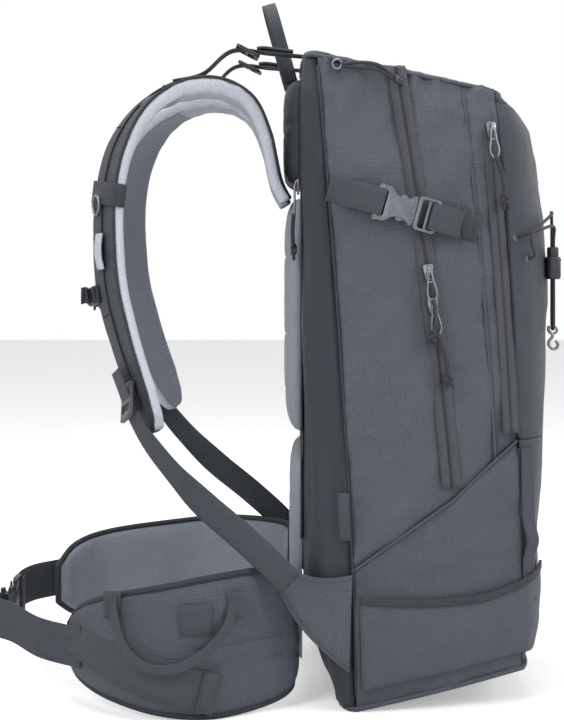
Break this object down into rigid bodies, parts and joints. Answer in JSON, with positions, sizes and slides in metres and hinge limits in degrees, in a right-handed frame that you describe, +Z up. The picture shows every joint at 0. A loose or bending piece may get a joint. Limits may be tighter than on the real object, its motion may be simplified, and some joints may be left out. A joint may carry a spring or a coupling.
{
  "type": "ski backpack",
  "caption": "Panel-built touring backpack with padded shoulder straps, winged hip belt, front tool pocket lid, side compression straps and haul loop.",
  "frame": {"origin": "on the floor under the middle of the whole pack's box, belt and straps included", "axes": "+Z up, +Y from the back panel towards the wearer, +X towards the wearer's right"},
  "size_m": [0.3272, 0.5298, 0.6542],
  "materials": {
    "navy_cloth": "smooth coated cloth",
    "slate_ripstop": "ripstop weave",
    "pale_lining": "brushed mesh",
    "black_webbing": "woven tape",
    "black_plastic": "satin moulded",
    "grey_buckle": "metallic grey",
    "steel": "satin"
  },
  "bodies": {
    "bag": {"back_pad": "pale_lining", "back_panel": "navy_cloth", "bottom_panel": "slate_ripstop", "frame_sheet": "black_plastic", "front_lower_panel": "navy_cloth", "hip_buckle_female": "black_plastic", "hip_fin_left": "slate_ripstop", "hip_fin_right": "slate_ripstop", "hip_webbing_left": "black_webbing", "lifter_buckle_left": "black_plastic", "lifter_buckle_right": "black_plastic", "lifter_webbing_left": "black_webbing", "lifter_webbing_right": "black_webbing", "lower_strap_left": "black_webbing", "lower_strap_right": "black_webbing", "lumbar_pad": "pale_lining", "main_zip": "black_webbing", "ring_keeper": "black_webbing", "shoulder_strap_left": "navy_cloth", "shoulder_strap_right": "navy_cloth", "shoulder_yoke": "navy_cloth", "side_buckle_female_left": "grey_buckle", "side_buckle_female_right": "grey_buckle", "side_lower_left": "slate_ripstop", "side_lower_right": "slate_ripstop", "side_panel_left": "slate_ripstop", "side_panel_right": "slate_ripstop", "side_pocket_left": "slate_ripstop", "side_pocket_right": "slate_ripstop", "side_strap_rear_left": "black_webbing", "side_strap_rear_right": "black_webbing", "strap_adjuster_left": "black_plastic", "strap_adjuster_right": "black_plastic", "top_panel": "slate_ripstop"},
    "lid": {"front_lid": "navy_cloth", "shock_cord": "black_webbing"},
    "cord_lock": {"cord_lock": "black_plastic"},
    "cord_hook": {"cord_hook": "steel"},
    "main_upper_slider": {"main_upper_slider": "black_plastic"},
    "main_upper_pull": {"main_upper_pull": "steel"},
    "main_lower_slider": {"main_lower_slider": "black_plastic"},
    "main_lower_pull": {"main_lower_pull": "steel"},
    "lid_slider": {"lid_slider": "black_plastic"},
    "lid_pull": {"lid_pull": "steel"},
    "back_access_slider": {"back_access_slider": "black_plastic"},
    "back_access_pull": {"back_access_pull": "steel"},
    "haul_loop": {"haul_loop": "black_webbing"},
    "side_release_left": {"side_buckle_male_left": "grey_buckle", "side_strap_front_left": "black_webbing"},
    "side_release_right": {"side_buckle_male_right": "grey_buckle", "side_strap_front_right": "black_webbing"},
    "hip_release": {"hip_buckle_male": "black_plastic", "hip_webbing_right": "black_webbing"},
    "sternum": {"sternum_slider_left": "black_plastic", "sternum_slider_right": "black_plastic", "sternum_webbing_left": "black_webbing", "sternum_buckle_female": "black_plastic"},
    "sternum_release": {"sternum_buckle_male": "black_plastic", "sternum_webbing_right": "black_webbing"},
    "strap_ring": {"strap_ring": "steel"}
  },
  "joints": [
    {"name": "lid_hinge", "type": "hinge", "parent": "bag", "child": "lid", "pos_m": [0, -0.25429, 0.24219], "axis": [1, 0, 0], "range_deg": [0, 70]},
    {"name": "cord_lock_slide", "type": "slide", "parent": "lid", "child": "cord_lock", "axis": [0, 0, 1], "range_m": [-0.012, 0.01]},
    {"name": "cord_hook_swing", "type": "hinge", "parent": "lid", "child": "cord_hook", "pos_m": [-0.06925, -0.25842, 0.3385], "axis": [1, 0, 0], "range_deg": [-60, 12]},
    {"name": "main_upper_slide", "type": "slide", "parent": "bag", "child": "main_upper_slider", "axis": [-0.0105, 0.1337, 0.991], "range_m": [0, 0.024]},
    {"name": "main_upper_pull_swing", "type": "hinge", "parent": "main_upper_slider", "child": "main_upper_pull", "pos_m": [-0.13951, -0.13624, 0.39211], "axis": [-0.1603, 0.978, -0.1337], "range_deg": [0, 110]},
    {"name": "main_lower_slide", "type": "slide", "parent": "bag", "child": "main_lower_slider", "axis": [-0.0105, 0.1282, 0.9917], "range_m": [-0.05, 0]},
    {"name": "main_lower_pull_swing", "type": "hinge", "parent": "main_lower_slider", "child": "main_lower_pull", "pos_m": [-0.13919, -0.14024, 0.3621], "axis": [-0.1641, 0.9781, -0.1282], "range_deg": [0, 110]},
    {"name": "lid_zip_slide", "type": "slide", "parent": "bag", "child": "lid_slider", "axis": [0.0299, 0.0915, 0.9954], "range_m": [-0.05, 0]},
    {"name": "lid_pull_swing", "type": "hinge", "parent": "lid_slider", "child": "lid_pull", "pos_m": [-0.12121, -0.195, 0.5204], "axis": [-0.252, 0.9643, -0.081], "range_deg": [0, 110]},
    {"name": "back_access_slide", "type": "slide", "parent": "bag", "child": "back_access_slider", "axis": [0, 0, 1], "range_m": [-0.06, 0.03]},
    {"name": "back_access_pull_swing", "type": "hinge", "parent": "back_access_slider", "child": "back_access_pull", "pos_m": [-0.1005, -0.0171, 0.47], "axis": [1, 0, 0], "range_deg": [0, 110]},
    {"name": "haul_loop_fold", "type": "hinge", "parent": "bag", "child": "haul_loop", "pos_m": [0, -0.0145, 0.573], "axis": [1, 0, 0], "range_deg": [-8, 22]},
    {"name": "side_buckle_release_left", "type": "slide", "parent": "bag", "child": "side_release_left", "axis": [0.1327, -0.9551, -0.2649], "range_m": [0, 0.018]},
    {"name": "side_buckle_release_right", "type": "slide", "parent": "bag", "child": "side_release_right", "axis": [-0.1327, -0.9551, -0.2649], "range_m": [0, 0.018]},
    {"name": "hip_buckle_release", "type": "slide", "parent": "bag", "child": "hip_release", "axis": [1, 0, 0], "range_m": [0, 0.026]},
    {"name": "sternum_height", "type": "slide", "parent": "bag", "child": "sternum", "axis": [0, 0.11, 0.9939], "range_m": [-0.02, 0.02]},
    {"name": "sternum_release", "type": "slide", "parent": "sternum", "child": "sternum_release", "axis": [1, 0, 0], "range_m": [0, 0.015]},
    {"name": "strap_ring_swing", "type": "hinge", "parent": "bag", "child": "strap_ring", "pos_m": [-0.08906, 0.16574, 0.46174], "axis": [0.9017, 0.4323, 0], "range_deg": [0, 80]}
  ]
}
